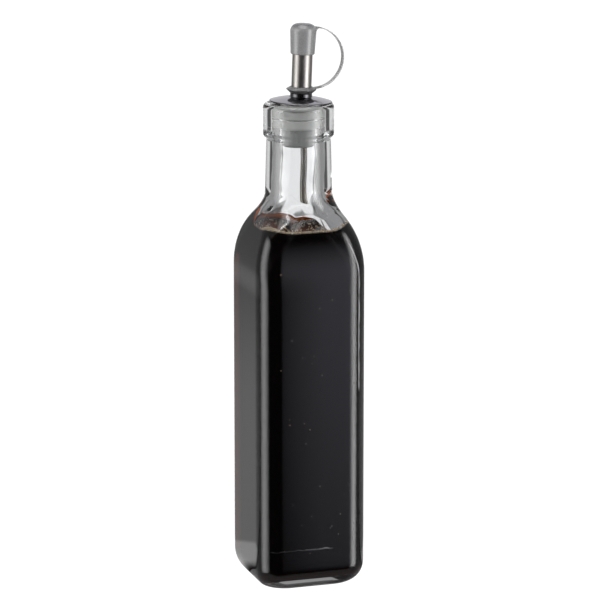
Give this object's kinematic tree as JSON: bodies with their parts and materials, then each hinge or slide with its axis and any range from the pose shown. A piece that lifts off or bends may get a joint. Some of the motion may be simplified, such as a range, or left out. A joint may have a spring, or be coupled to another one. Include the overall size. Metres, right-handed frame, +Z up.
{
  "type": "oil and vinegar bottle",
  "caption": "Square clear glass table bottle of dark vinegar with a steel pourer, ribbed stopper and tethered grey dust cap.",
  "frame": {"origin": "centre of the base on the surface it stands on", "axes": "+Z up along the bottle's axis, X and Y square to the flat sides, +X towards the cap's strap loop"},
  "size_m": [0.06, 0.06, 0.301],
  "materials": {
    "clear_glass": "clear, smooth, gently uneven",
    "dark_vinegar": "dark clear liquid, nearly black in bulk",
    "milky_plastic": "translucent soft plastic",
    "polished_steel": "polished stainless steel",
    "tube_steel": "drawn steel tube",
    "grey_plastic": "soft moulded plastic, satin"
  },
  "bodies": {
    "root": {"bottle": "clear_glass", "vinegar": "dark_vinegar", "stopper": "milky_plastic", "spout": "polished_steel", "vent_tube": "tube_steel", "dust_cap": "grey_plastic"}
  },
  "joints": []
}
